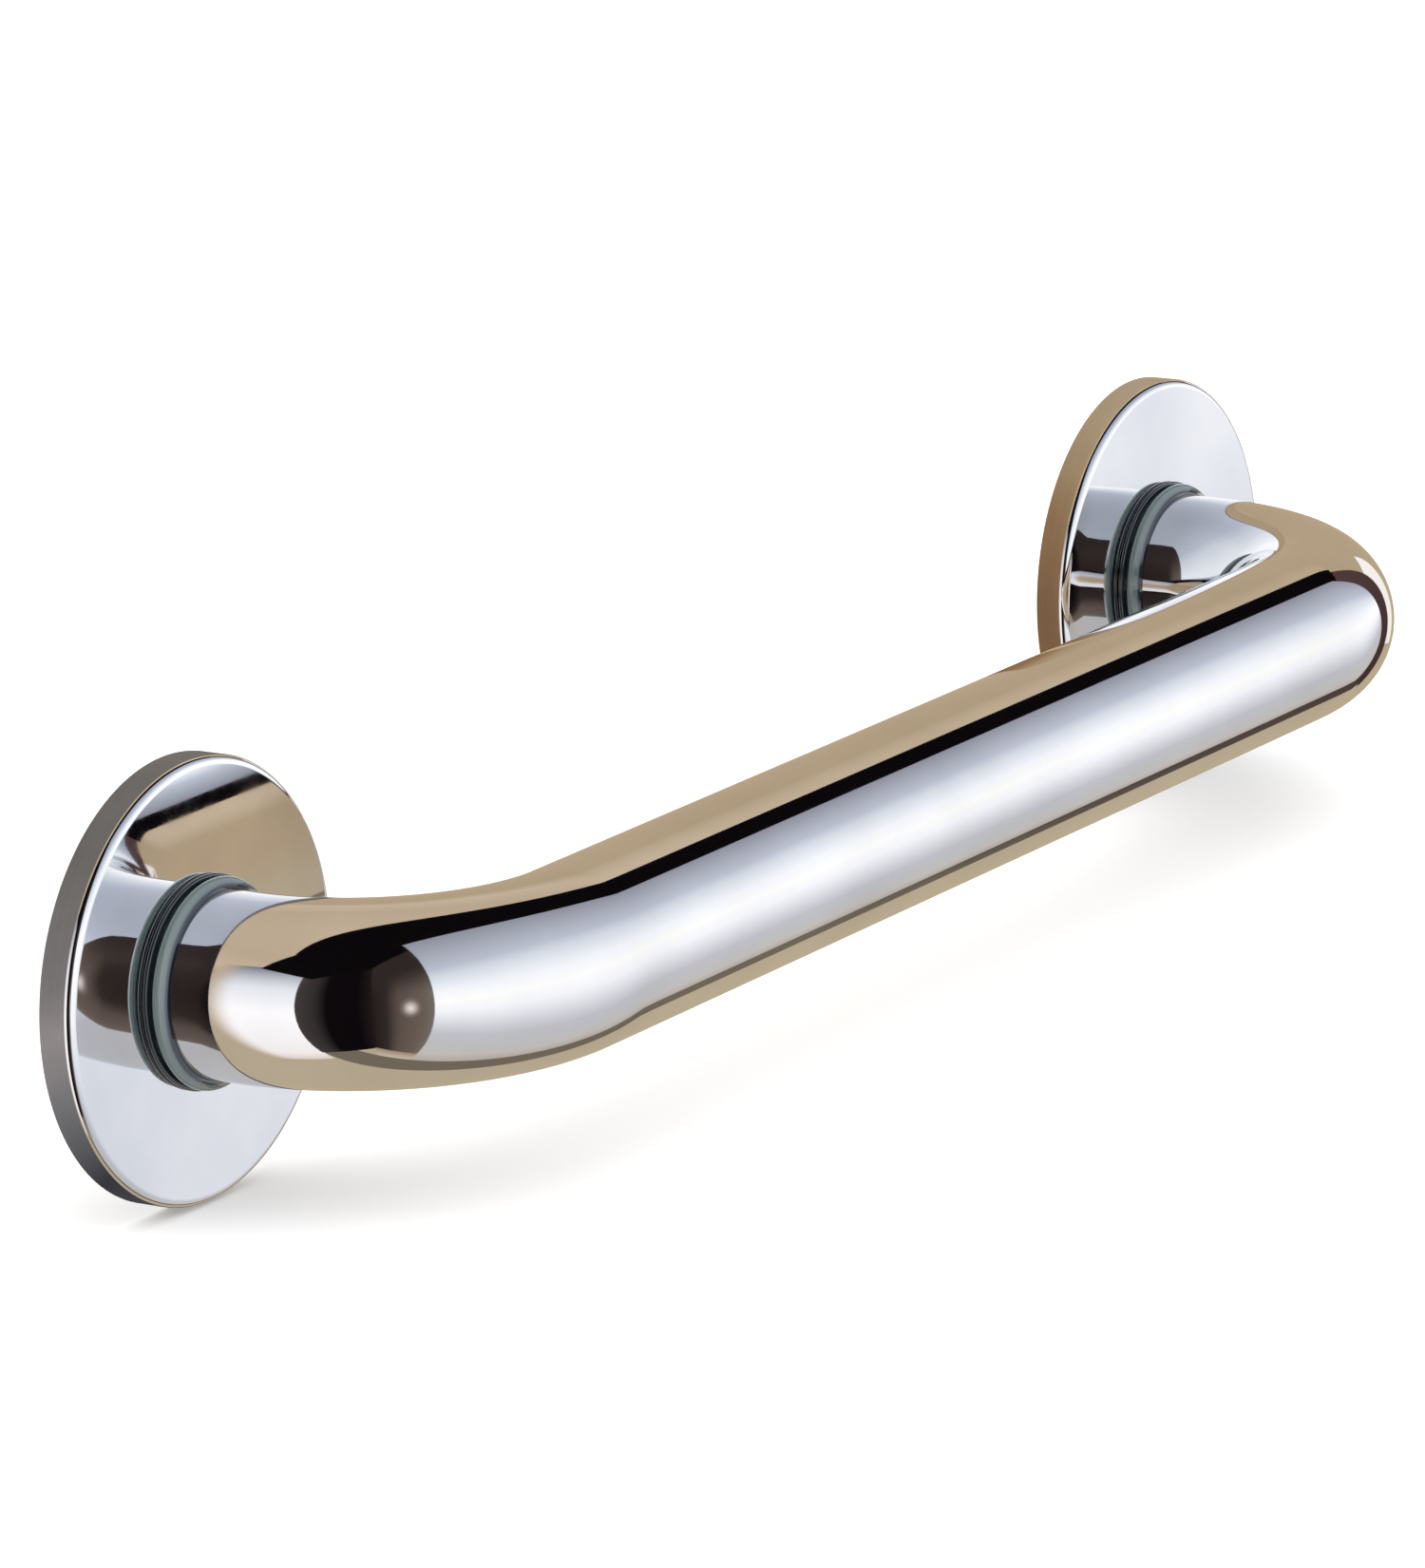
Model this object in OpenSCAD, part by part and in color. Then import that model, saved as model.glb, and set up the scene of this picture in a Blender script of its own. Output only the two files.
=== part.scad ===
// Grab rail: a bent steel tube on two concealed flanges.
// X runs along the rail, Y into the wall, Z up. The wall face is the plane Y = 0
// and the origin lies on it, midway between the two fixings.

/* [Rail] */
// Distance between the two legs, centre to centre
leg_pitch = 324; // [250:2:900]
// Distance from the wall to the centreline of the grip
projection = 54; // [54:1:100]
// Outside diameter of the tube
tube_d = 32; // [28:1:34]
// Wall thickness of the tube
tube_wall = 1.5; // [1.2:0.1:2.5]
// Radius of both bends, measured to the tube's centreline
bend_r = 38; // [34:1:38]

/* [Covers] */
// Outside diameter of the round covers
cover_d = 76; // [72:1:96]
// How far a cover's face stands off the wall
cover_depth = 6.5; // [6.5:0.5:10]
// Thickness of the pressed cover
cover_sheet = 1; // [0.8:0.1:1]
// Radius of the turned edge between a cover's face and its rim
cover_edge_r = 1.5; // [1.3:0.1:2.5]

/* [Mounting plates] */
// Thickness of the welded mounting plates
plate_t = 2.5; // [2:0.25:2.5]
// Diameter of the circle that the screw holes lie on
hole_circle_d = 54; // [48:1:56]
// Diameter of each screw hole
hole_d = 5.5; // [4.5:0.5:6.5]
// Diameter of the countersink at each screw hole
countersink_d = 9; // [8:0.5:10]
// Leg length of the fillet weld between tube and plate
weld_leg = 1.3; // [1:0.1:1.3]

/* [Wall gaskets] */
// Thickness of the gasket between a plate and the wall
gasket_t = 0.5; // [0.3:0.1:0.5]

/* [Collar rings] */
// How far a collar ring stands out from a cover's face
collar_reach = 4; // [3.5:0.1:5]
// How far the collar's bead stands proud of the tube
collar_proud = 2; // [1.8:0.1:2.4]

/* [Hidden] */

LEFT = -1;
RIGHT = 1;
$fn = 96;
eps = 0.01;

steel_colour = [0.82, 0.83, 0.86];
plate_colour = [0.62, 0.63, 0.66];
weld_colour = [0.50, 0.48, 0.47];
collar_colour = [0.27, 0.36, 0.38];
gasket_colour = [0.10, 0.10, 0.11];

// Radial gap of each sliding fit, and the looser gaps round them
running_gap = 0.05;
cover_to_plate_gap = 0.5;
gasket_setback = 0.8;
gasket_to_tube_gap = 1;

tube_r = tube_d / 2;
cover_r = cover_d / 2;
leg_length = projection - bend_r;
grip_length = leg_pitch - 2 * bend_r;
plate_back = gasket_t;
plate_front = plate_back + plate_t;
plate_r = cover_r - cover_sheet - cover_to_plate_gap;
gasket_r = plate_r - gasket_setback;

// The collar is turned from these rings; each depth is measured from the wall
face_front = cover_depth;
face_back = cover_depth - cover_sheet;
collar_groove_depth = 0.9;
collar_lip_proud = 0.3;
collar_lip_t = 1;
collar_lip_chamfer = 0.4;
collar_flange_t = 0.9;
collar_slot_w = 0.6;
collar_bore_r = tube_r + running_gap;
collar_bead_r = tube_r + collar_proud;
collar_groove_r = collar_bead_r - collar_groove_depth;
collar_lip_r = collar_bead_r + collar_lip_proud;
collar_front = face_front + collar_reach;
collar_bead_back = face_front + running_gap + collar_flange_t + collar_slot_w;
collar_nose_t = 0.7;
collar_nose_wall = 0.5;
collar_nose_r = tube_r + collar_nose_wall;
cover_bore_r = collar_groove_r + running_gap;

// Points of an arc about centre c, from angle a0 to angle a1
function arc(c, r, a0, a1, steps = 8) =
    [for (i = [0 : steps]) let (a = a0 + (a1 - a0) * i / steps) c + r * [cos(a), sin(a)]];

// Stands a shape turned about Z on the wall at one leg, with its Z pointing out
// of the wall
module at_leg(side) {
    translate([side * leg_pitch / 2, 0, 0])
        rotate([90, 0, 0])
            children();
}

module tube_section() {
    difference() {
        circle(r = tube_r);
        circle(r = tube_r - tube_wall);
    }
}

module leg_tube(side) {
    at_leg(side)
        translate([0, 0, plate_back])
            linear_extrude(leg_length - plate_back)
                tube_section();
}

module bend_tube() {
    translate([grip_length / 2, -leg_length, 0])
        rotate([0, 0, -90])
            rotate_extrude(angle = 90)
                translate([bend_r, 0])
                    tube_section();
}

module grip_tube() {
    translate([-grip_length / 2, -projection, 0])
        rotate([0, 90, 0])
            linear_extrude(grip_length)
                tube_section();
}

// The bent tube, square ended at the back of each plate
module rail_tube() {
    color(steel_colour)
        union() {
            grip_tube();
            bend_tube();
            mirror([1, 0, 0])
                bend_tube();
            leg_tube(LEFT);
            leg_tube(RIGHT);
        }
}

// Three holes on the fixing circle, one at the top
module on_hole_circle() {
    for (angle = [90, 210, 330])
        rotate([0, 0, angle])
            translate([hole_circle_d / 2, 0, 0])
                children();
}

module screw_hole() {
    sink_depth = (countersink_d - hole_d) / 2;
    translate([0, 0, plate_back - eps])
        cylinder(h = plate_t + 2 * eps, d = hole_d);
    translate([0, 0, plate_front - sink_depth])
        cylinder(h = sink_depth + eps, d1 = hole_d, d2 = countersink_d + 2 * eps);
}

// Round plate that the tube is pushed through and welded to
module mount_plate(side) {
    color(plate_colour)
        at_leg(side)
            difference() {
                translate([0, 0, plate_back])
                    cylinder(h = plate_t, r = plate_r);
                translate([0, 0, plate_back - eps])
                    cylinder(h = plate_t + 2 * eps, r = tube_r);
                on_hole_circle()
                    screw_hole();
            }
}

// Hollow fillet weld in the corner between the tube and the plate's front
module weld_bead(side) {
    throat = 0.75 * weld_leg;
    color(weld_colour)
        at_leg(side)
            rotate_extrude()
                polygon([
                    [tube_r, plate_front],
                    [tube_r + weld_leg, plate_front],
                    [tube_r + weld_leg - throat / 2, plate_front + weld_leg - throat],
                    [tube_r + weld_leg - throat, plate_front + weld_leg - throat / 2],
                    [tube_r, plate_front + weld_leg]
                ]);
}

module wall_gasket(side) {
    color(gasket_colour)
        at_leg(side)
            difference() {
                cylinder(h = gasket_t, r = gasket_r);
                translate([0, 0, -eps])
                    cylinder(h = gasket_t + 2 * eps, r = tube_r + gasket_to_tube_gap);
                on_hole_circle()
                    translate([0, 0, -eps])
                        cylinder(h = gasket_t + 2 * eps, d = hole_d);
            }
}

// Half section of the collar: lip behind the cover's face, groove that holds the
// face, flange, slot, rounded bead and a nose that closes on the tube
module collar_profile() {
    bead_half = (collar_front - collar_nose_t - collar_bead_back) / 2;
    bead_mid = collar_bead_back + bead_half;
    flange_r = collar_flange_t / 2;
    flange_mid = face_front + running_gap + flange_r;
    polygon(concat(
        [
            [collar_bore_r, face_back - collar_lip_t],
            [collar_lip_r - collar_lip_chamfer, face_back - collar_lip_t],
            [collar_lip_r, face_back - collar_lip_t + collar_lip_chamfer],
            [collar_lip_r, face_back - running_gap],
            [collar_groove_r, face_back - running_gap],
            [collar_groove_r, face_front + running_gap]
        ],
        arc([collar_lip_r - flange_r, flange_mid], flange_r, -90, 90),
        [
            [collar_groove_r, flange_mid + flange_r],
            [collar_groove_r, collar_bead_back]
        ],
        arc([collar_bead_r - bead_half, bead_mid], bead_half, -90, 70, 12),
        [
            [collar_nose_r, collar_front],
            [collar_bore_r, collar_front]
        ]
    ));
}

module collar_ring(side) {
    color(collar_colour)
        at_leg(side)
            rotate_extrude()
                collar_profile();
}

// Half section of the pressed cover: rim, turned edge and flat face with a bore
module cover_profile() {
    edge_c = [cover_r - cover_edge_r, cover_depth - cover_edge_r];
    inner_r = max(cover_edge_r - cover_sheet, 0.1);
    polygon(concat(
        [[cover_r - cover_sheet, 0], [cover_r, 0]],
        arc(edge_c, cover_edge_r, 0, 90),
        [[cover_bore_r, face_front], [cover_bore_r, face_back]],
        arc(edge_c, inner_r, 90, 0, 4)
    ));
}

module cover(side) {
    color(steel_colour)
        at_leg(side)
            rotate_extrude()
                cover_profile();
}

rail_tube();
mount_plate(LEFT);  // left_mount_plate
mount_plate(RIGHT);  // right_mount_plate
weld_bead(LEFT);  // left_weld_bead
weld_bead(RIGHT);  // right_weld_bead
wall_gasket(LEFT);  // left_wall_gasket
wall_gasket(RIGHT);  // right_wall_gasket
collar_ring(LEFT);  // left_collar_ring
collar_ring(RIGHT);  // right_collar_ring
cover(LEFT);  // left_cover
cover(RIGHT);  // right_cover
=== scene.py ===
"""Looks for the grab rail: polished steel, collar rings, and a plain pale studio round them."""
import math

import bmesh
import bpy
from mathutils import Matrix, Vector


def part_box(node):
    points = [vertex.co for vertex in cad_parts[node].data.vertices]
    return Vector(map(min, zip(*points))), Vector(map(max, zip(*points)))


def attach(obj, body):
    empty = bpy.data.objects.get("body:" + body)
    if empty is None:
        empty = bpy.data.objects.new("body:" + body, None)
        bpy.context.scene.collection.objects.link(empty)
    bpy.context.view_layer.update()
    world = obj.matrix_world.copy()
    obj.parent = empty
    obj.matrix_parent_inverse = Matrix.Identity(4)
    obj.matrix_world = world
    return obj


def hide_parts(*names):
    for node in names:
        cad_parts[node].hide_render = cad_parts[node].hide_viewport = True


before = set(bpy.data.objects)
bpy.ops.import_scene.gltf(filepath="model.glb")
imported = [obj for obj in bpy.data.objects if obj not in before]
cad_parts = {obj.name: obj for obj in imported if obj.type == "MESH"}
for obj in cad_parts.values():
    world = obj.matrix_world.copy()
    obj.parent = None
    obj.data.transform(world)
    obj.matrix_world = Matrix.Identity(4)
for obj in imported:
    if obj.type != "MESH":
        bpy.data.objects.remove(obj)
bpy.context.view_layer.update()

# ------------------------------------------------------------ dimensions, in metres
TUBE_LOW, TUBE_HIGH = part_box("rail_tube")
TUBE_R = TUBE_HIGH.z
LEG_X = TUBE_HIGH.x - TUBE_R
GRIP_Y = TUBE_LOW.y + TUBE_R
TUBE_END_Y = TUBE_HIGH.y
TUBE_WALL = 0.0015
BEND_R = 0.038

COVER_LOW, COVER_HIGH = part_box("right_cover")
COVER_R = COVER_HIGH.z
COVER_DEPTH = -COVER_LOW.y
COVER_SHEET = 0.001
COVER_EDGE_R = 0.0015

COLLAR_LOW, COLLAR_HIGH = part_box("right_collar_ring")
COLLAR_LIP_R = COLLAR_HIGH.z
COLLAR_FRONT = -COLLAR_LOW.y
COLLAR_BACK = -COLLAR_HIGH.y
RUNNING_GAP = 0.00005
COLLAR_LIP_PROUD = 0.0003
COLLAR_LIP_CHAMFER = 0.0004
COLLAR_GROOVE_DEPTH = 0.0009
COLLAR_FLANGE_T = 0.0009
COLLAR_SLOT_W = 0.0006
COLLAR_NOSE_T = 0.0007
COLLAR_NOSE_WALL = 0.0005
COLLAR_BORE_R = TUBE_R + RUNNING_GAP
COLLAR_BEAD_R = COLLAR_LIP_R - COLLAR_LIP_PROUD
COLLAR_GROOVE_R = COLLAR_BEAD_R - COLLAR_GROOVE_DEPTH
COVER_BORE_R = COLLAR_GROOVE_R + RUNNING_GAP

WELD_LOW, WELD_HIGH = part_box("right_weld_bead")
WELD_FRONT = -WELD_LOW.y
WELD_BACK = -WELD_HIGH.y
WELD_LEG = WELD_FRONT - WELD_BACK
WELD_HOLLOW_R = 1.9 * WELD_LEG

SIDES = {"left": -1, "right": 1}
TUBE_SEGMENTS = 160
COVER_SEGMENTS = 256
COLLAR_SEGMENTS = 192
WELD_SEGMENTS = 360
SMOOTH_ANGLE = math.radians(32)


# ------------------------------------------------------------ shader helper
class Graph:
    """A material's node tree, with short calls for the nodes used here."""

    def __init__(self, name):
        self.material = bpy.data.materials.new(name)
        self.material.use_nodes = True
        self.nodes = self.material.node_tree.nodes
        self.links = self.material.node_tree.links
        self.shader = self.nodes["Principled BSDF"]
        self.place = self.nodes.new("ShaderNodeTexCoord").outputs["Object"]

    def set(self, **values):
        for key, value in values.items():
            self.shader.inputs[key.replace("_", " ")].default_value = value

    def drive(self, source, socket_name):
        self.links.new(source, self.shader.inputs[socket_name])

    def math(self, operation, a, b=0.0):
        node = self.nodes.new("ShaderNodeMath")
        node.operation = operation
        for socket, value in zip(node.inputs, (a, b)):
            if isinstance(value, (int, float)):
                socket.default_value = value
            else:
                self.links.new(value, socket)
        return node.outputs[0]

    def combine(self, x, y, z=0.0):
        node = self.nodes.new("ShaderNodeCombineXYZ")
        for socket, value in zip(node.inputs, (x, y, z)):
            if isinstance(value, (int, float)):
                socket.default_value = value
            else:
                self.links.new(value, socket)
        return node.outputs[0]

    def split(self):
        node = self.nodes.new("ShaderNodeSeparateXYZ")
        self.links.new(self.place, node.inputs[0])
        return node.outputs["X"], node.outputs["Y"], node.outputs["Z"]

    def stretched(self, scale):
        node = self.nodes.new("ShaderNodeMapping")
        node.inputs["Scale"].default_value = scale
        self.links.new(self.place, node.inputs["Vector"])
        return node.outputs[0]

    def noise(self, scale, detail=2.0, rough=0.5, vector=None):
        node = self.nodes.new("ShaderNodeTexNoise")
        node.inputs["Scale"].default_value = scale
        node.inputs["Detail"].default_value = detail
        node.inputs["Roughness"].default_value = rough
        self.links.new(vector or self.place, node.inputs["Vector"])
        return node.outputs["Fac"]

    def span(self, value, low, high, from_low=0.0, from_high=1.0):
        node = self.nodes.new("ShaderNodeMapRange")
        node.inputs["From Min"].default_value = from_low
        node.inputs["From Max"].default_value = from_high
        node.inputs["To Min"].default_value = low
        node.inputs["To Max"].default_value = high
        self.links.new(value, node.inputs["Value"])
        return node.outputs["Result"]

    def ramp(self, value, stops):
        node = self.nodes.new("ShaderNodeValToRGB")
        elements = node.color_ramp.elements
        while len(elements) < len(stops):
            elements.new(0.5)
        for element, (position, colour) in zip(elements, stops):
            element.position = position
            element.color = (*colour, 1.0)
        self.links.new(value, node.inputs["Fac"])
        return node.outputs["Color"]

    def bump(self, height, distance, normal=None):
        node = self.nodes.new("ShaderNodeBump")
        node.inputs["Distance"].default_value = distance
        self.links.new(height, node.inputs["Height"])
        if normal is not None:
            self.links.new(normal, node.inputs["Normal"])
        return node.outputs["Normal"]

    def leg_polar(self):
        """Radius and angle about the nearer leg's axis, so one material fits both ends."""
        x, _, z = self.split()
        across = self.math("SUBTRACT", self.math("ABSOLUTE", x), LEG_X)
        squares = self.math("ADD", self.math("MULTIPLY", across, across), self.math("MULTIPLY", z, z))
        return self.math("SQRT", squares), self.math("ARCTAN2", z, across)


# ------------------------------------------------------------ materials of the object
def tube_steel():
    """Mirror polish with a faint cloud of smudges, slow waviness and hairlines along the grip."""
    along, across = 18, 900
    wave_height, hairline_depth = 0.00002, 0.0000003
    g = Graph("polished_tube")
    g.set(Metallic=1.0)
    cloud = g.noise(38.0, 5.0, 0.6)
    g.drive(g.ramp(cloud, [(0.35, (0.84, 0.83, 0.83)), (0.65, (0.90, 0.89, 0.89))]), "Base Color")
    smudge = g.span(g.noise(95.0, 6.0, 0.65), 0.02, 0.05, 0.35, 0.75)
    hairline = g.noise(1.0, 3.0, 0.7, g.stretched((along, across, across)))
    g.drive(g.math("ADD", smudge, g.span(hairline, 0.0, 0.015, 0.45, 0.8)), "Roughness")
    wave = g.bump(g.noise(26.0, 1.0), wave_height)
    g.drive(g.bump(hairline, hairline_depth, wave), "Normal")
    return g.material


def cover_steel():
    """Pressed cover: buffed face with soft clouds, and a duller drawn rim."""
    g = Graph("polished_cover")
    g.set(Metallic=1.0)
    _, y, _ = g.split()
    rim_ends, face_begins = COVER_DEPTH - COVER_EDGE_R, COVER_DEPTH - 0.4 * COVER_EDGE_R
    rim = g.span(g.math("ABSOLUTE", y), 1.0, 0.0, rim_ends, face_begins)
    cloud = g.noise(17.0, 4.0, 0.55)
    face = g.ramp(cloud, [(0.3, (0.76, 0.78, 0.81)), (0.68, (0.99, 0.985, 0.985))])
    mix = g.nodes.new("ShaderNodeMix")
    mix.data_type = "RGBA"
    g.links.new(rim, mix.inputs["Factor"])
    g.links.new(face, mix.inputs["A"])
    drawn = g.noise(1.0, 3.0, 0.6, g.stretched((30, 5200, 30)))
    blotch = g.noise(90.0, 3.0, 0.6)
    tone = g.math("ADD", g.math("MULTIPLY", drawn, 0.5), g.math("MULTIPLY", blotch, 0.5))
    g.links.new(g.ramp(tone, [(0.35, (0.76, 0.75, 0.75)), (0.65, (0.90, 0.89, 0.88))]), mix.inputs["B"])
    g.drive(mix.outputs["Result"], "Base Color")
    buffed = g.span(g.noise(120.0, 6.0, 0.65), 0.02, 0.07, 0.35, 0.75)
    rim_haze = g.math("MULTIPLY", rim, 0.08)
    g.drive(g.math("ADD", buffed, rim_haze), "Roughness")
    g.drive(g.bump(g.noise(22.0, 1.0), 0.00003), "Normal")
    return g.material


def brushed_plate():
    """Turned steel: fine rings round the leg over a mottled mill finish."""
    g = Graph("brushed_plate")
    g.set(Metallic=1.0)
    radius, angle = g.leg_polar()
    rings = g.noise(1.0, 4.0, 0.7, g.combine(g.math("MULTIPLY", radius, 3200.0), angle))
    mottle = g.noise(140.0, 4.0, 0.6)
    tone = g.math("ADD", g.math("MULTIPLY", rings, 0.6), g.math("MULTIPLY", mottle, 0.4))
    g.drive(g.ramp(tone, [(0.35, (0.33, 0.33, 0.34)), (0.65, (0.58, 0.58, 0.60))]), "Base Color")
    g.drive(g.span(tone, 0.26, 0.48, 0.3, 0.7), "Roughness")
    g.drive(g.bump(rings, 0.00001), "Normal")
    return g.material


def weld_steel():
    """Weld metal: overlapping ripples round the tube, tinted straw and blue by the heat."""
    g = Graph("weld_steel")
    g.set(Metallic=1.0)
    radius, angle = g.leg_polar()
    tint = g.math("ADD", radius, g.math("MULTIPLY", g.noise(220.0, 3.0), 0.0012))
    g.drive(g.ramp(g.span(tint, 0.0, 1.0, TUBE_R, TUBE_R + 2 * WELD_LEG), [
        (0.1, (0.36, 0.30, 0.24)), (0.35, (0.30, 0.22, 0.30)),
        (0.55, (0.20, 0.24, 0.36)), (0.9, (0.48, 0.46, 0.44)),
    ]), "Base Color")
    g.drive(g.span(g.noise(900.0, 3.0), 0.3, 0.55), "Roughness")
    ripples_round = 120.0
    ripple = g.math("SINE", g.math("MULTIPLY", angle, ripples_round))
    g.drive(g.bump(ripple, 0.00005), "Normal")
    return g.material


def collar_polymer():
    """Glossy seal with faint flow clouds: a smoke-teal bead with near-black on the lip, flange, slot
    and nose; that near-black is partly a dark moulding and partly painted shade of the grooves beside
    the bead.
    """
    g = Graph("collar_polymer")
    g.set(IOR=1.52, Coat_Weight=1.0, Coat_Roughness=0.03, Coat_IOR=1.6)
    _, y, _ = g.split()
    reach = g.math("ADD", g.math("ABSOLUTE", y), g.math("MULTIPLY", g.noise(160.0, 3.0, 0.5), 0.00008))
    # partly painted shade: the near-black bands over the flange and slot by the cover and over the nose
    # darken the grooves beside the teal bead, on top of a dark moulding
    g.drive(g.ramp(g.span(reach, 0.0, 1.0, COVER_DEPTH, COLLAR_FRONT), [
        (0.0, (0.006, 0.009, 0.012)), (0.36, (0.010, 0.016, 0.020)), (0.43, (0.095, 0.13, 0.13)),
        (0.72, (0.12, 0.155, 0.152)), (0.90, (0.10, 0.13, 0.135)), (0.97, (0.012, 0.02, 0.036)),
    ]), "Base Color")
    g.drive(g.span(g.noise(420.0, 4.0), 0.10, 0.2, 0.3, 0.7), "Roughness")
    g.drive(g.bump(g.noise(500.0, 2.0), 0.0000012), "Normal")
    return g.material


def gasket_rubber():
    """Closed-cell rubber: matt, nearly black, finely pitted and dusted grey."""
    g = Graph("gasket_rubber")
    g.set(IOR=1.5)
    dust = g.noise(60.0, 5.0, 0.65)
    g.drive(g.ramp(dust, [(0.35, (0.018, 0.018, 0.019)), (0.7, (0.05, 0.05, 0.048))]), "Base Color")
    pits = g.nodes.new("ShaderNodeTexVoronoi")
    pits.inputs["Scale"].default_value = 1400.0
    g.links.new(g.place, pits.inputs["Vector"])
    g.drive(g.span(pits.outputs["Distance"], 0.62, 0.85), "Roughness")
    g.drive(g.bump(pits.outputs["Distance"], 0.00008), "Normal")
    return g.material


# ------------------------------------------------------------ mesh helpers
def arc(centre, radius, start_deg, end_deg, steps):
    """Points (r, depth) on an arc, from one angle to another."""
    points = []
    for i in range(steps + 1):
        angle = math.radians(start_deg + (end_deg - start_deg) * i / steps)
        points.append((centre[0] + radius * math.cos(angle), centre[1] + radius * math.sin(angle)))
    return points


def close_grid(rings):
    """Faces of a closed grid of vertices that wraps both ways."""
    across = len(rings[0])
    faces = []
    for i in range(len(rings)):
        nxt = (i + 1) % len(rings)
        for j in range(across):
            k = (j + 1) % across
            faces.append((i * across + j, i * across + k, nxt * across + k, nxt * across + j))
    return faces


def make_piece(name, rings, material, body, node):
    """One closed smooth mesh from rings of points, riding on a body in place of its CAD node."""
    mesh = bpy.data.meshes.new(name)
    mesh.from_pydata([p for ring in rings for p in ring], [], close_grid(rings))
    edit = bmesh.new()
    edit.from_mesh(mesh)
    bmesh.ops.recalc_face_normals(edit, faces=edit.faces)
    edit.to_mesh(mesh)
    edit.free()
    mesh.shade_smooth()
    mesh.set_sharp_from_angle(angle=SMOOTH_ANGLE)
    mesh.materials.append(material)
    piece = bpy.data.objects.new(name, mesh)
    bpy.context.scene.collection.objects.link(piece)
    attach(piece, body)
    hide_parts(node)
    return piece


def lathe_rings(side, profile, segments):
    """Turns a profile of (r, depth) points about one leg; depth is measured out of the wall."""
    rings = []
    for i in range(segments):
        turn = 2 * math.pi * i / segments
        rings.append([
            (side * LEG_X + r * math.cos(turn), -depth, r * math.sin(turn))
            for r, depth in profile
        ])
    return rings


# ------------------------------------------------------------ pieces of the object
def tube_path():
    """Stations (x, y, inward x, inward y) of the centreline, from the left foot to the right one."""
    leg_end = GRIP_Y + BEND_R
    bend_x = LEG_X - BEND_R
    leg_steps, bend_steps, grip_steps = 6, 48, 60
    leg = [TUBE_END_Y + (leg_end - TUBE_END_Y) * i / leg_steps for i in range(leg_steps)]
    bend = [math.radians(90 * i / bend_steps) for i in range(bend_steps + 1)]
    grip = [-bend_x + 2 * bend_x * i / grip_steps for i in range(1, grip_steps)]
    left = [(-LEG_X, y, 1.0, 0.0) for y in leg]
    left += [(-bend_x - BEND_R * math.cos(a), leg_end - BEND_R * math.sin(a), math.cos(a), math.sin(a))
             for a in bend]
    middle = [(x, GRIP_Y, 0.0, 1.0) for x in grip]
    right = [(-x, y, -inward_x, inward_y) for x, y, inward_x, inward_y in reversed(left)]
    return left + middle + right


def rail_tube(material):
    """The bent tube, with its wall: one skin outside, one inside, joined at both feet."""
    inner_r = TUBE_R - TUBE_WALL
    path = tube_path()
    stations = [(s, TUBE_R) for s in path] + [(s, inner_r) for s in reversed(path)]
    rings = []
    for (x, y, inward_x, inward_y), radius in stations:
        ring = []
        for i in range(TUBE_SEGMENTS):
            turn = 2 * math.pi * i / TUBE_SEGMENTS
            reach = radius * math.cos(turn)
            ring.append((x + reach * inward_x, y + reach * inward_y, radius * math.sin(turn)))
        rings.append(ring)
    return make_piece("bent_tube", rings, material, "rail", "rail_tube")


def cover_profile():
    """Pressed cover: rim, turned edge and flat face, with close rows beside each curve."""
    lip = 0.0002
    row = 0.00015
    inset = 0.004
    edge_c = (COVER_R - COVER_EDGE_R, COVER_DEPTH - COVER_EDGE_R)
    face_back = COVER_DEPTH - COVER_SHEET
    inner_r = COVER_R - COVER_SHEET
    points = arc((COVER_R - lip, lip), lip, -90, 0, 4)
    points += [(COVER_R, lip + row), (COVER_R, edge_c[1] - row)]
    points += arc(edge_c, COVER_EDGE_R, 0, 90, 14)
    points += [(edge_c[0] - row, COVER_DEPTH), (edge_c[0] - inset, COVER_DEPTH)]
    points += [(COVER_BORE_R + inset, COVER_DEPTH), (COVER_BORE_R + lip + row, COVER_DEPTH)]
    points += arc((COVER_BORE_R + lip, COVER_DEPTH - lip), lip, 90, 180, 4)
    points += [(COVER_BORE_R, face_back), (COVER_BORE_R + inset, face_back)]
    points += [(edge_c[0] - row, face_back)]
    points += arc(edge_c, COVER_EDGE_R - COVER_SHEET, 90, 0, 5)
    points += [(inner_r, lip)]
    return points


def collar_profile():
    """Collar: back lip, groove that holds the cover, flange, slot, rounded bead and closing nose."""
    face_back = COVER_DEPTH - COVER_SHEET - RUNNING_GAP
    groove_front = COVER_DEPTH + RUNNING_GAP
    flange_r = COLLAR_FLANGE_T / 2
    flange_mid = groove_front + flange_r
    bead_back = groove_front + COLLAR_FLANGE_T + COLLAR_SLOT_W
    bead_half = (COLLAR_FRONT - COLLAR_NOSE_T - bead_back) / 2
    points = [(COLLAR_BORE_R, COLLAR_BACK), (COLLAR_LIP_R - COLLAR_LIP_CHAMFER, COLLAR_BACK)]
    points += [(COLLAR_LIP_R, COLLAR_BACK + COLLAR_LIP_CHAMFER), (COLLAR_LIP_R, face_back)]
    points += [(COLLAR_GROOVE_R, face_back), (COLLAR_GROOVE_R, groove_front)]
    points += arc((COLLAR_LIP_R - flange_r, flange_mid), flange_r, -90, 90, 16)
    points += [(COLLAR_GROOVE_R, flange_mid + flange_r), (COLLAR_GROOVE_R, bead_back)]
    points += arc((COLLAR_BEAD_R - bead_half, bead_back + bead_half), bead_half, -90, 70, 24)
    points += [(TUBE_R + COLLAR_NOSE_WALL, COLLAR_FRONT), (COLLAR_BORE_R, COLLAR_FRONT)]
    return points


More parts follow.
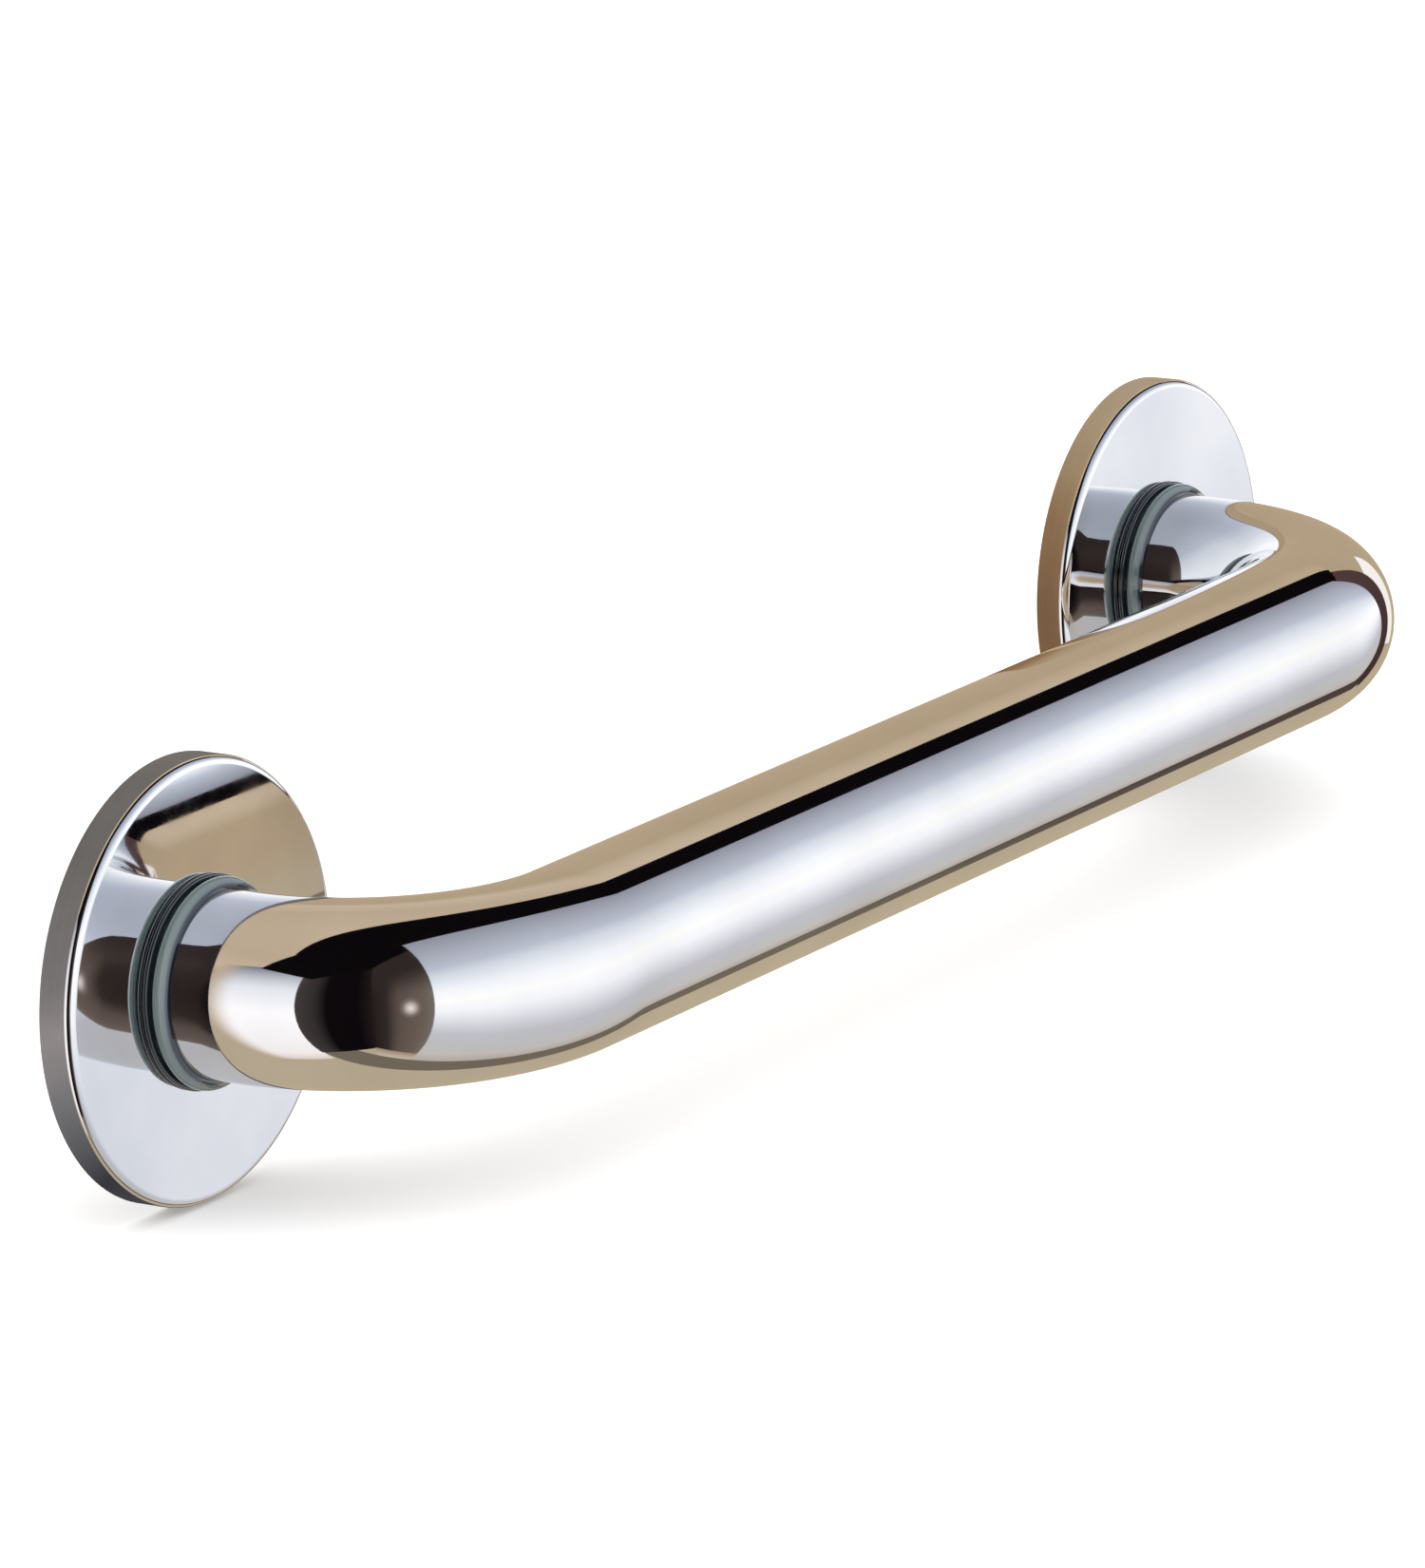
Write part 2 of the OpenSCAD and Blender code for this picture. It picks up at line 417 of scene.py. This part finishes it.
def weld_profile():
    """Slightly hollow fillet in the corner between tube and plate."""
    centre = (TUBE_R + WELD_HOLLOW_R, WELD_BACK + WELD_HOLLOW_R)
    hollow = arc(centre, WELD_HOLLOW_R, 242, 208, 8)
    inside = [(TUBE_R, WELD_FRONT), (TUBE_R, WELD_BACK), (TUBE_R + WELD_LEG, WELD_BACK)]
    return inside + [(r, d) for r, d in hollow if r < TUBE_R + WELD_LEG and d < WELD_FRONT]


def end_pieces(name, side, steel, polymer, weld):
    """The pieces round one leg that are turned shapes."""
    make_piece(name + "_cover_shell", lathe_rings(side, cover_profile(), COVER_SEGMENTS), steel,
               name + "_cover_shell", name + "_cover")
    make_piece(name + "_collar", lathe_rings(side, collar_profile(), COLLAR_SEGMENTS), polymer,
               name + "_collar", name + "_collar_ring")
    make_piece(name + "_weld", lathe_rings(side, weld_profile(), WELD_SEGMENTS), weld,
               "rail", name + "_weld_bead")


# ------------------------------------------------------------ studio
# A small room in metres round the rail, and the elevations in degrees at which its parts
# are seen from the rail when looking square to the grip.
CENTRE = Vector((0.0, GRIP_Y / 2, 0.0))
POLISH = 0.87
FRONT = 1.2
NEARER = 0.02
PANEL_LEFT = -1.06
PANEL_RIGHT = 8.17
PANEL_LOW = -75
PANEL_HIGH = 76.5
SIDE_WALL = -2.17
CORNER_LOW = -68
CEILING = 3.6 * FRONT
STRIP_LEFT = -4.2
WALL_RING_Y = 0.004
WALL_RING_W = 0.018
BLACK = (10, 8, 10)
CARD_STEPS = 48


def seen(red, green, blue):
    """Light a card must give for polished steel to show this 8-bit screen colour."""
    def linear(value):
        value = value / 255
        return value / 12.92 if value <= 0.04045 else ((value + 0.055) / 1.055) ** 2.4
    return tuple(linear(value) / POLISH for value in (red, green, blue))


def add_ramp(nodes, stops, low, high):
    """A colour ramp over a card's own coordinate, given as (place, screen colour) pairs."""
    ramp = nodes.new("ShaderNodeValToRGB")
    elements = ramp.color_ramp.elements
    while len(elements) < len(stops):
        elements.new(0.5)
    for element, (where, colour) in zip(elements, stops):
        element.position = (where - low) / (high - low)
        element.color = (*seen(*colour), 1.0)
    return ramp


def glow(name, stops, low, high, axis, fade=None):
    """Emission ramped along one side of a card; fade = (start, end, colour) along the other."""
    material = bpy.data.materials.new(name)
    material.use_nodes = True
    nodes, links = material.node_tree.nodes, material.node_tree.links
    nodes.clear()
    place = nodes.new("ShaderNodeUVMap")
    split = nodes.new("ShaderNodeSeparateXYZ")
    links.new(place.outputs["UV"], split.inputs[0])
    ramp = add_ramp(nodes, stops, low, high)
    links.new(split.outputs[axis], ramp.inputs["Fac"])
    colour = ramp.outputs["Color"]
    if fade:
        across = nodes.new("ShaderNodeMapRange")
        across.interpolation_type = "SMOOTHSTEP"
        across.inputs["From Min"].default_value = fade[0]
        across.inputs["From Max"].default_value = fade[1]
        links.new(split.outputs["X" if axis == "Y" else "Y"], across.inputs["Value"])
        mix = nodes.new("ShaderNodeMix")
        mix.data_type = "RGBA"
        mix.inputs["B"].default_value = (*seen(*fade[2]), 1.0)
        links.new(across.outputs["Result"], mix.inputs["Factor"])
        links.new(colour, mix.inputs["A"])
        colour = mix.outputs["Result"]
    light = nodes.new("ShaderNodeEmission")
    out = nodes.new("ShaderNodeOutputMaterial")
    links.new(colour, light.inputs["Color"])
    links.new(light.outputs[0], out.inputs["Surface"])
    return material


def reflected_only(name, mesh, material):
    """A card that shows in glossy surfaces and nowhere else."""
    mesh.materials.append(material)
    card = bpy.data.objects.new(name, mesh)
    bpy.context.scene.collection.objects.link(card)
    card.visible_camera = False
    card.visible_diffuse = False
    card.visible_shadow = False


def grid_card(name, point, across, stops, low, high, axis="Y", fade=None):
    """A card through point(u, v), for u between the two across values and v from low to high."""
    verts, uvs, faces = [], [], []
    for i in range(CARD_STEPS + 1):
        v = i / CARD_STEPS
        for j in range(CARD_STEPS + 1):
            u = j / CARD_STEPS
            verts.append(point(across[0] + (across[1] - across[0]) * u, low + (high - low) * v))
            uvs.append((u, v))
    row = CARD_STEPS + 1
    for i in range(CARD_STEPS):
        for j in range(CARD_STEPS):
            k = i * row + j
            faces.append((k, k + 1, k + 1 + row, k + row))
    mesh = bpy.data.meshes.new(name)
    mesh.from_pydata(verts, [], faces)
    layer = mesh.uv_layers.new(name="UVMap")
    for loop in mesh.loops:
        layer.data[loop.index].uv = uvs[loop.vertex_index]
    span = (low, high) if axis == "Y" else across
    reflected_only(name, mesh, glow(name, stops, *span, axis, fade))


def flat_card(name, corners, colour):
    """A flat card of one colour, through the given corners."""
    mesh = bpy.data.meshes.new(name)
    mesh.from_pydata(corners, [], [tuple(range(len(corners)))])
    mesh.uv_layers.new(name="UVMap")
    reflected_only(name, mesh, glow(name, [(0, colour), (1, colour)], 0, 1, "Y"))


def upright(y):
    """Places a point (x, degrees) on a wall across the front; degrees are seen from the rail."""
    def point(x, degrees):
        return (x, CENTRE.y - y, y * math.tan(math.radians(degrees)))
    return point


def overhead(height):
    """Places a point (x, degrees) on a level ceiling; 90 degrees is straight over the rail."""
    def point(x, degrees):
        return (x, CENTRE.y - height / math.tan(math.radians(degrees)), height)
    return point


def side_wall(x):
    """Places a point (y, z) on a wall square to the rail."""
    def point(y, z):
        return (x, y, z)
    return point


def disc(x, z, y, tall):
    """Places a point (turn in degrees, radius) on an upright oval spot across the front."""
    def point(turn, radius):
        a = math.radians(turn)
        return (x + radius * math.cos(a), CENTRE.y - y, z + tall * radius * math.sin(a))
    return point


def dome(radius):
    """Places a point (bearing, height) in degrees on a sphere round the whole object."""
    def point(bearing, height):
        a, e = math.radians(bearing), math.radians(height)
        return (radius * math.sin(a) * math.cos(e), CENTRE.y - radius * math.cos(a) * math.cos(e),
                radius * math.sin(e))
    return point


def studio():
    """Tan room, broad white panel in front with dark edges, dark corner by the camera."""
    grid_card("room", dome(60.0), (-180, 180), [
        (-90, (178, 165, 142)), (-30, (178, 164, 140)), (0, (176, 157, 130)), (27, (173, 155, 128)),
        (35, (194, 176, 153)), (50, (184, 166, 142)), (90, (192, 174, 150)),
    ], -90, 90)
    grid_card("panel", upright(FRONT), (PANEL_LEFT, PANEL_RIGHT), [
        (PANEL_LOW, (176, 168, 158)), (-66, (190, 186, 183)), (-54, (188, 188, 191)),
        (-43, (189, 190, 197)), (-32, (208, 210, 217)),
        (-12, (243, 245, 250)), (2, (254, 254, 254)), (16, (243, 246, 252)),
        (35, (210, 218, 228)), (44, (186, 192, 207)), (63, (160, 166, 178)),
        (PANEL_HIGH, (142, 142, 156)),
    ], PANEL_LOW, PANEL_HIGH)
    grid_card("strip_over", overhead(CEILING), (STRIP_LEFT, PANEL_RIGHT), [
        (76, BLACK), (98, BLACK),
    ], 76, 98)
    grid_card("strip_under", overhead(-CEILING), (STRIP_LEFT, PANEL_RIGHT), [
        (STRIP_LEFT, (112, 103, 90)), (6.2, (108, 99, 86)), (6.9, (80, 68, 64)),
        (PANEL_RIGHT, (60, 46, 44)),
    ], -87, PANEL_LOW, "X")

    # the dark corner round the camera, under its own lower and sloping ceiling
    grid_card("corner_front", upright(FRONT), (SIDE_WALL, PANEL_LEFT), [
        (SIDE_WALL, (34, 27, 26)), (-1.8, (50, 42, 39)), (-1.55, (92, 79, 72)), (-1.2, (104, 92, 84)),
        (PANEL_LEFT, (112, 106, 98)),
    ], CORNER_LOW, 77, "X", (0.55, 0.85, (46, 39, 38)))
    grid_card("corner_foot", upright(FRONT - NEARER / 2), (SIDE_WALL, PANEL_LEFT), [
        (PANEL_LOW, (196, 184, 168)), (-71, (176, 160, 142)), (-67.5, (146, 127, 105)),
    ], PANEL_LOW, -67.5)
    grid_card("corner_glow", disc(-1.37, -0.1, FRONT - NEARER / 2, 2.2), (0, 360), [
        (0, (232, 227, 224)), (0.06, (192, 182, 176)), (0.12, (124, 112, 104)), (0.18, (96, 84, 77)),
    ], 0, 0.18)
    grid_card("corner_side", side_wall(SIDE_WALL), (-1.23, -0.15), [
        (-1.23, (30, 24, 24)), (-1.0, (12, 8, 11)), (-0.55, (14, 10, 12)), (-0.38, (50, 46, 46)),
        (-0.15, (64, 58, 56)),
    ], -3.0, 2.9, "X")
    flat_card("ceiling_front", [(x, CENTRE.y - FRONT + NEARER, z) for x, z in (
        (SIDE_WALL, 2.35), (-1.29, 3.0), (PANEL_LEFT, 3.2), (PANEL_LEFT, 4.8), (SIDE_WALL, 6.0),
    )], BLACK)
    flat_card("ceiling_side", [(SIDE_WALL + NEARER, y, z) for y, z in (
        (-1.23, 2.33), (-0.28, 1.25), (0.573, 1.685), (0.4, 3.4), (0.45, 4.6), (0.3, 6.0), (-1.23, 6.0),
    )], BLACK)
    grid_card("window", side_wall(SIDE_WALL - NEARER), (-0.18, 1.25), [
        (-4.4, (214, 202, 190)), (-3.0, (240, 236, 236)), (-0.3, (252, 251, 253)),
        (0.7, (225, 228, 236)), (1.8, (110, 114, 128)),
    ], -4.4, 1.8, "Y", (0.62, 1.0, (184, 166, 142)))

    # a ring of wall round each cover, which its rim mirrors: grey at the left and brown at the right
    ring = (COVER_R, COVER_R + WALL_RING_W)
    grid_card("wall_left", disc(-LEG_X, 0, CENTRE.y - WALL_RING_Y, 1), (-90, 270), [
        (-90, (70, 70, 75)), (75, (116, 112, 108)), (128, (108, 106, 104)), (170, (122, 118, 118)),
        (185, (146, 141, 141)), (210, (112, 112, 115)), (240, (56, 56, 62)), (270, (70, 70, 75)),
    ], *ring, "X")
    grid_card("wall_right", disc(LEG_X, 0, CENTRE.y - WALL_RING_Y, 1), (-90, 270), [
        (-90, (122, 96, 72)), (75, (170, 153, 128)), (105, (169, 150, 123)), (130, (159, 136, 106)),
        (150, (140, 112, 80)), (180, (122, 94, 66)), (270, (122, 96, 72)),
    ], *ring, "X")

    # the far end of the panel: a dark corner at its foot, a dark post, then a pale wall
    flat_card("panel_foot", [(x, CENTRE.y - FRONT + NEARER, z) for x, z in (
        (6.5, -4.4), (PANEL_RIGHT, -4.4), (PANEL_RIGHT, -1.9),
    )], (64, 50, 47))
    grid_card("post", side_wall(PANEL_RIGHT), (-1.25, 0.21), [
        (-4.5, (60, 46, 44)), (4.5, (78, 58, 60)),
    ], -4.5, 4.5)
    grid_card("pale_wall", side_wall(PANEL_RIGHT), (0.21, 1.6), [
        (-2.4, (236, 230, 224)), (1.7, (244, 238, 236)),
    ], -2.4, 1.7)


def floor_and_light():
    """Pale floor under the covers, white air and one soft lamp for the shadow."""
    half = 20.0
    gap = 0.0005
    corners = ((-half, -half), (half, -half), (half, half), (-half, half))
    mesh = bpy.data.meshes.new("floor")
    mesh.from_pydata([(x, y, COVER_LOW.z - gap) for x, y in corners], [], [(0, 1, 2, 3)])
    material = bpy.data.materials.new("floor_pale")
    material.use_nodes = True
    shader = material.node_tree.nodes["Principled BSDF"]
    shader.inputs["Base Color"].default_value = (0.95, 0.95, 0.95, 1)
    shader.inputs["Roughness"].default_value = 0.9
    shader.inputs["Emission Color"].default_value = (1.0, 1.0, 1.0, 1)
    shader.inputs["Emission Strength"].default_value = 0.12
    mesh.materials.append(material)
    floor = bpy.data.objects.new("floor", mesh)
    bpy.context.scene.collection.objects.link(floor)
    floor.visible_glossy = False

    world = bpy.data.worlds.new("studio_air")
    bpy.context.scene.world = world
    world.use_nodes = True
    air = world.node_tree.nodes["Background"]
    air.inputs["Color"].default_value = (1.0, 1.0, 1.0, 1)
    air.inputs["Strength"].default_value = 1.28

    light = bpy.data.lights.new("soft_key", "AREA")
    light.shape = "DISK"
    light.size = 2.4
    light.energy = 20.0
    lamp = bpy.data.objects.new("soft_key", light)
    lamp.location = (-0.9, -1.3, 2.2)
    lamp.rotation_euler = (CENTRE - lamp.location).to_track_quat("-Z", "Y").to_euler()
    lamp.visible_glossy = False
    bpy.context.scene.collection.objects.link(lamp)


# ------------------------------------------------------------ camera
FRAME_PX = 1650


def camera(azimuth, elevation, roll, distance, target, focal_px):
    """Azimuth 0 looks along +Y; focal length is in pixels of the 1500 x 1650 frame."""
    a, e = math.radians(azimuth), math.radians(elevation)
    back = Vector((math.sin(a) * math.cos(e), -math.cos(a) * math.cos(e), math.sin(e)))
    data = bpy.data.cameras.new("camera")
    data.sensor_width = 36.0
    data.lens = focal_px / FRAME_PX * data.sensor_width
    data.clip_start = 0.01
    data.clip_end = 200.0
    cam = bpy.data.objects.new("camera", data)
    tilt = Matrix.Rotation(math.radians(-roll), 3, "Z").to_quaternion()
    turn = (-back).to_track_quat("-Z", "Y") @ tilt
    cam.rotation_mode = "QUATERNION"
    cam.rotation_quaternion = turn
    cam.location = target + back * distance
    bpy.context.scene.collection.objects.link(cam)
    bpy.context.scene.camera = cam


# ------------------------------------------------------------ build
rail_tube(tube_steel())
sheet_steel = cover_steel()
polymer = collar_polymer()
weld = weld_steel()
plate = brushed_plate()
rubber = gasket_rubber()
for name, side in SIDES.items():
    end_pieces(name, side, sheet_steel, polymer, weld)
    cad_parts[name + "_mount_plate"].material_slots[0].material = plate
    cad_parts[name + "_wall_gasket"].material_slots[0].material = rubber

studio()
floor_and_light()
camera(azimuth=-57.5, elevation=14.3, roll=1.9, distance=1.695,
       target=Vector((-0.0367, -0.0279, 0.007)), focal_px=10170)
bpy.context.scene.view_settings.view_transform = "Standard"
